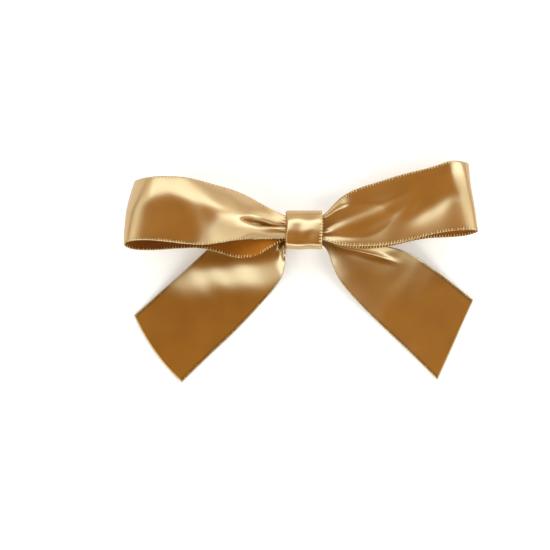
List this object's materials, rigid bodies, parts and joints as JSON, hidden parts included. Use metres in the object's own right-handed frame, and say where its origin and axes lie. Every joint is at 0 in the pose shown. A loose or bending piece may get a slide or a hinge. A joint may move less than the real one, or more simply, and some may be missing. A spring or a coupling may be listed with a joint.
{
  "type": "gift bow",
  "caption": "Pre-made satin ribbon gift bow: looped and gathered ribbon with slanted tails, held by a folded centre band, on a peel-and-stick foam pad.",
  "frame": {"origin": "centre of the adhesive pad's release liner, on its underside, where the bow lies on a surface or is stuck to a gift", "axes": "+Z out of the bow's face, away from the pad; +X across the bow to the viewer's right; +Y towards the top of the bow, away from the tails"},
  "size_m": [0.1088, 0.0694, 0.0186],
  "materials": {
    "satin_ribbon": "gold satin weave with a woven edge",
    "band_ribbon": "gold satin weave with a woven edge",
    "thread": "twisted polyester thread",
    "hot_glue": "translucent set glue",
    "foam": "closed-cell foam",
    "adhesive": "tacky clear film",
    "liner_paper": "silicone-coated paper"
  },
  "bodies": {
    "root": {"centre_band": "band_ribbon", "band_glue": "hot_glue", "loop_gather": "satin_ribbon", "tail_gather": "satin_ribbon", "gathering_thread": "thread", "pad_adhesive_inner": "adhesive", "pad_foam": "foam", "pad_adhesive_outer": "adhesive"},
    "loop_left": {"loop_left": "satin_ribbon"},
    "loop_right": {"loop_right": "satin_ribbon"},
    "tail_left": {"tail_left": "satin_ribbon"},
    "tail_right": {"tail_right": "satin_ribbon"},
    "liner": {"release_liner": "liner_paper"}
  },
  "joints": [
    {"name": "loop_left_lift", "type": "hinge", "parent": "root", "child": "loop_left", "pos_m": [-0.0062, 0, 0.0094], "axis": [0, 1, 0], "range_deg": [0, 35], "stiffness_Nm_per_rad": 0.0005},
    {"name": "loop_right_lift", "type": "hinge", "parent": "root", "child": "loop_right", "pos_m": [0.0062, 0, 0.0094], "axis": [0, -1, 0], "range_deg": [0, 35], "stiffness_Nm_per_rad": 0.0005},
    {"name": "tail_left_swing", "type": "hinge", "parent": "root", "child": "tail_left", "pos_m": [0, 0, 0.0032], "axis": [0, 0, 1], "range_deg": [-12, 15]},
    {"name": "tail_right_swing", "type": "hinge", "parent": "root", "child": "tail_right", "pos_m": [0, 0, 0.0032], "axis": [0, 0, -1], "range_deg": [-12, 15]},
    {"name": "liner_peel", "type": "hinge", "parent": "root", "child": "liner", "pos_m": [-0.008, 0, 0.00012], "axis": [0, 1, 0], "range_deg": [0, 110]}
  ]
}
